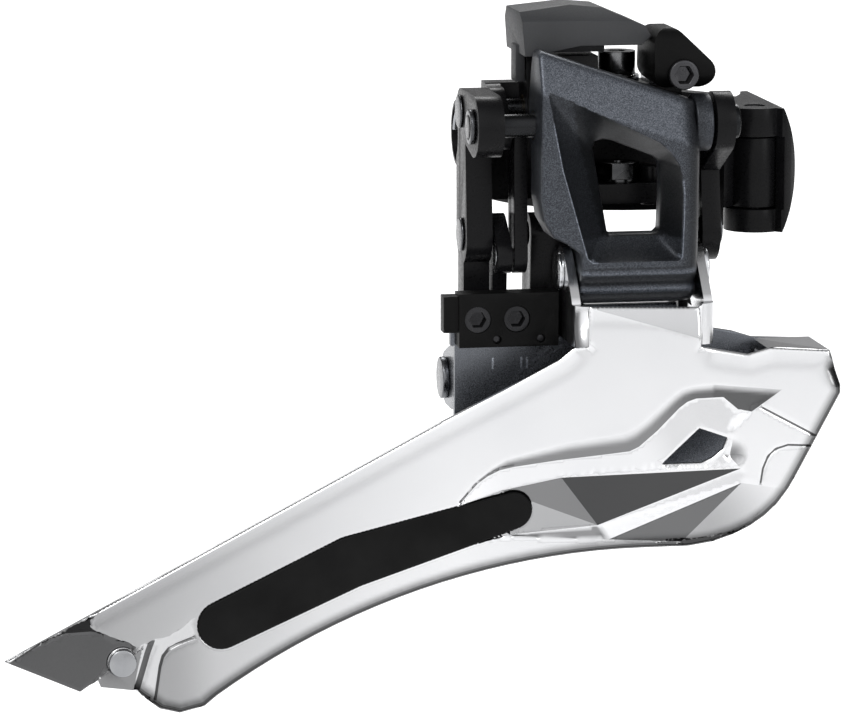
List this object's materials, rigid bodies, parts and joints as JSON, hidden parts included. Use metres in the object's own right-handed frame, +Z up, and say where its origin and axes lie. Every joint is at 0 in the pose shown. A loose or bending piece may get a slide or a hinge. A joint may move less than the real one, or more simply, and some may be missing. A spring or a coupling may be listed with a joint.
{
  "type": "front derailleur",
  "caption": "Band-clamp front derailleur: parallelogram links swing a two-plate chain cage outward, pulled by a cable arm over a toggle link and returned by a spring.",
  "frame": {"origin": "centre of the seat-tube clamp's bore, about 153 mm above the crank axle", "axes": "+X forward along the bicycle, +Y inboard from the chain side towards the frame, +Z up along the seat tube"},
  "size_m": [0.1149, 0.0751, 0.0937],
  "materials": {
    "polished_cage": "polished and clear-anodised",
    "dark_cage": "dark polished plate",
    "painted_link": "dark blue-grey fine metallic paint, satin",
    "black_metal": "black anodised, satin",
    "cover_grey": "dark grey moulded, matte",
    "black_plastic": "black moulded, fine grain",
    "black_screw": "black oxide",
    "bright_steel": "bright zinc or nickel plated",
    "pin_steel": "ground steel",
    "spring_steel": "drawn wire",
    "bush_bronze": "sintered bronze"
  },
  "bodies": {
    "base": {"base_member": "black_metal", "base_nut": "bright_steel", "base_post": "black_metal", "outer_pivot_pin": "pin_steel", "inner_pivot_pins": "pin_steel", "arm_pivot_pin": "pin_steel", "return_spring": "spring_steel", "pin_clips": "pin_steel"},
    "clamp_half": {"clamp_band": "black_metal", "clamp_hinge_pin": "black_screw", "clamp_bolt_washer": "black_screw"},
    "clamp_bolt": {"clamp_bolt": "black_screw"},
    "outer_link": {"outer_link": "painted_link", "outer_link_bushes": "bush_bronze"},
    "inner_link": {"inner_link": "black_metal", "inner_link_bushes": "bush_bronze", "toggle_low_rivet": "bright_steel"},
    "cable_arm": {"cable_arm": "black_metal", "arm_bushes": "bush_bronze", "arm_cover": "cover_grey", "tension_lever": "black_plastic", "cable_plate": "pin_steel", "cable_washer": "bright_steel", "toggle_top_rivet": "bright_steel"},
    "tension_screw": {"tension_screw": "black_screw"},
    "cable_bolt": {"cable_bolt": "bright_steel"},
    "toggle_link": {"toggle_link": "black_metal"},
    "cage": {"outer_plate": "polished_cage", "inner_plate": "dark_cage", "outer_skid": "black_plastic", "inner_skid": "black_plastic", "tail_spacer": "pin_steel", "tail_rivet": "bright_steel", "nose_rivets": "pin_steel", "neck_rivets": "pin_steel", "cage_pivot_pin": "bright_steel", "inner_cage_pin": "pin_steel", "limit_block": "black_plastic", "block_rivets": "black_screw"},
    "low_limit_screw": {"low_limit_screw": "black_screw"},
    "high_limit_screw": {"high_limit_screw": "black_screw"}
  },
  "joints": [
    {"name": "link_swing", "type": "hinge", "parent": "base", "child": "outer_link", "pos_m": [0, -0.038, 0.0082], "axis": [-1, 0, 0], "range_deg": [0, 32], "stiffness_Nm_per_rad": 0.6, "springref_deg": -34.38},
    {"name": "cage_pivot", "type": "hinge", "parent": "outer_link", "child": "cage", "pos_m": [0, -0.036, -0.0121], "axis": [-1, 0, 0], "range_deg": [-32, 0]},
    {"name": "inner_link_swing", "type": "hinge", "parent": "base", "child": "inner_link", "pos_m": [0, -0.0295, -0.0077], "axis": [-1, 0, 0], "range_deg": [0, 32]},
    {"name": "cable_arm_swing", "type": "hinge", "parent": "base", "child": "cable_arm", "pos_m": [0, -0.0285, 0.0092], "axis": [-1, 0, 0], "range_deg": [0, 32]},
    {"name": "toggle_pivot", "type": "hinge", "parent": "cable_arm", "child": "toggle_link", "pos_m": [0, -0.0327, 0.0067], "axis": [-1, 0, 0], "range_deg": [-32, 0]},
    {"name": "clamp_hinge", "type": "hinge", "parent": "base", "child": "clamp_half", "pos_m": [0.0158, -0.02001, 0], "axis": [0, 0, -1], "range_deg": [0, 75]},
    {"name": "clamp_bolt_turn", "type": "hinge", "parent": "clamp_half", "child": "clamp_bolt", "pos_m": [-0.01191, 0.02038, -0.00125], "axis": [0.8634, 0.5045, 0], "continuous": true},
    {"name": "tension_screw_turn", "type": "hinge", "parent": "cable_arm", "child": "tension_screw", "pos_m": [0.0013, -0.036, 0.0147], "axis": [0, -1, 0], "continuous": true},
    {"name": "cable_bolt_turn", "type": "hinge", "parent": "cable_arm", "child": "cable_bolt", "pos_m": [-0.0054, -0.026, 0.014], "axis": [0, 0, 1], "continuous": true},
    {"name": "low_limit_turn", "type": "hinge", "parent": "cage", "child": "low_limit_screw", "pos_m": [-0.027, -0.036, -0.0184], "axis": [0, -1, 0], "continuous": true},
    {"name": "high_limit_turn", "type": "hinge", "parent": "cage", "child": "high_limit_screw", "pos_m": [-0.0216, -0.036, -0.0184], "axis": [0, -1, 0], "continuous": true}
  ],
  "couplings": [
    {"joint": "cage_pivot", "follows": "link_swing", "ratio": -1},
    {"joint": "inner_link_swing", "follows": "link_swing", "ratio": 1},
    {"joint": "cable_arm_swing", "follows": "link_swing", "ratio": 1},
    {"joint": "toggle_pivot", "follows": "link_swing", "ratio": -1}
  ]
}
